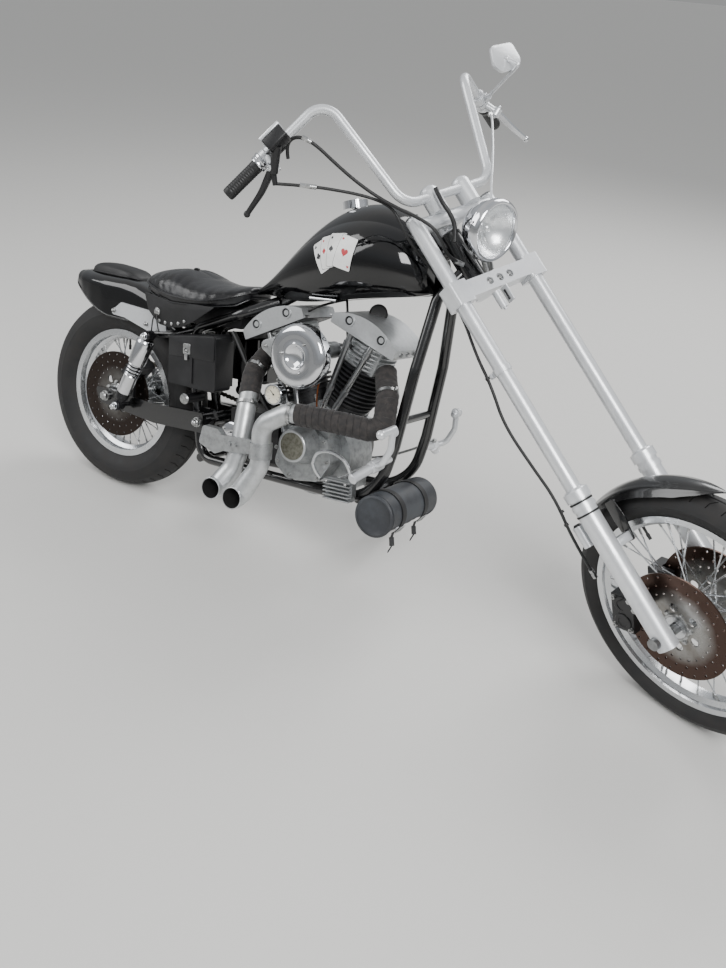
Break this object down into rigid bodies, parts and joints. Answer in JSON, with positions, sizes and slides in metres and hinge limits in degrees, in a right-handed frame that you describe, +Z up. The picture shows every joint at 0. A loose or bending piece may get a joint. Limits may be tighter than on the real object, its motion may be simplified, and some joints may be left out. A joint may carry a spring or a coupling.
{
  "type": "chopper motorcycle",
  "caption": "Long-forked black chopper motorcycle with a finned V-twin engine, high bars and wire wheels, leaning on its side stand.",
  "frame": {"origin": "on the floor under the middle of the machine's bounding box", "axes": "+X forward, +Y to the rider's left, +Z up"},
  "size_m": [2.6208, 1.0332, 1.5089],
  "materials": {
    "black_gloss": "gloss",
    "steel": "satin",
    "cast_alloy": "satin",
    "silver_paint": "satin",
    "red_lens": "gloss",
    "leather": "satin",
    "chrome": "polished",
    "black_satin": "satin",
    "exhaust_steel": "satin",
    "rubber": "matte",
    "lens": "gloss",
    "tyre": "matte"
  },
  "bodies": {
    "chassis": {"frame": "black_gloss", "swingarm": "black_gloss", "rear_axle": "steel", "shocks": "cast_alloy", "rear_fender": "black_gloss", "fender_struts": "silver_paint", "tail_light": "red_lens", "passenger_pad": "leather", "fuel_tank": "black_gloss", "filler_cap": "chrome", "seat": "leather", "battery_box": "black_satin", "oil_tank": "black_gloss", "crankcase": "cast_alloy", "gear_cover": "cast_alloy", "cylinders": "black_satin", "cylinder_heads": "cast_alloy", "pushrod_tubes": "chrome", "carburettor": "cast_alloy", "air_cleaner": "chrome", "exhausts": "exhaust_steel", "exhaust_clamp": "cast_alloy", "oil_gauge": "chrome", "gearbox": "black_satin", "primary_cover": "black_gloss", "drive_chain": "steel", "forward_controls": "silver_paint", "regulator": "cast_alloy", "rear_caliper": "black_satin", "tool_roll": "leather"},
    "rear_wheel": {"rear_tyre": "tyre", "rear_wire_wheel": "chrome", "rear_disc": "steel", "rear_sprocket": "steel"},
    "front_wheel": {"front_tyre": "tyre", "front_wire_wheel": "chrome", "front_discs": "steel"},
    "stand": {"side_stand": "silver_paint"},
    "fork": {"fork_trees": "silver_paint", "fork_tubes": "silver_paint", "fork_sliders": "silver_paint", "front_axle": "steel", "handlebar": "silver_paint", "grips": "rubber", "hand_controls": "black_satin", "mirror": "chrome", "headlight": "chrome", "headlight_lens": "lens", "front_fender": "black_gloss", "front_calipers": "black_satin", "throttle_cable": "rubber", "front_brake_hose": "rubber", "loom": "rubber", "clutch_cable": "steel"}
  },
  "joints": [
    {"name": "rear_wheel_spin", "type": "hinge", "parent": "chassis", "child": "rear_wheel", "pos_m": [-0.98511, -0.2023, 0.31731], "axis": [0, 0.9732, -0.23], "continuous": true},
    {"name": "steering", "type": "hinge", "parent": "chassis", "child": "fork", "pos_m": [0.19737, -0.05175, 0.95415], "axis": [-0.7454, 0.1534, 0.6488], "range_deg": [0, 56.6]},
    {"name": "front_wheel_spin", "type": "hinge", "parent": "fork", "child": "front_wheel", "pos_m": [0.98242, -0.22369, 0.33995], "axis": [0.316, 0.9382, 0.1413], "continuous": true},
    {"name": "side_stand_fold", "type": "hinge", "parent": "chassis", "child": "stand", "pos_m": [-0.05843, -0.06696, 0.23778], "axis": [-0.0729, 0.8226, 0.564], "range_deg": [0, 88.3]}
  ]
}
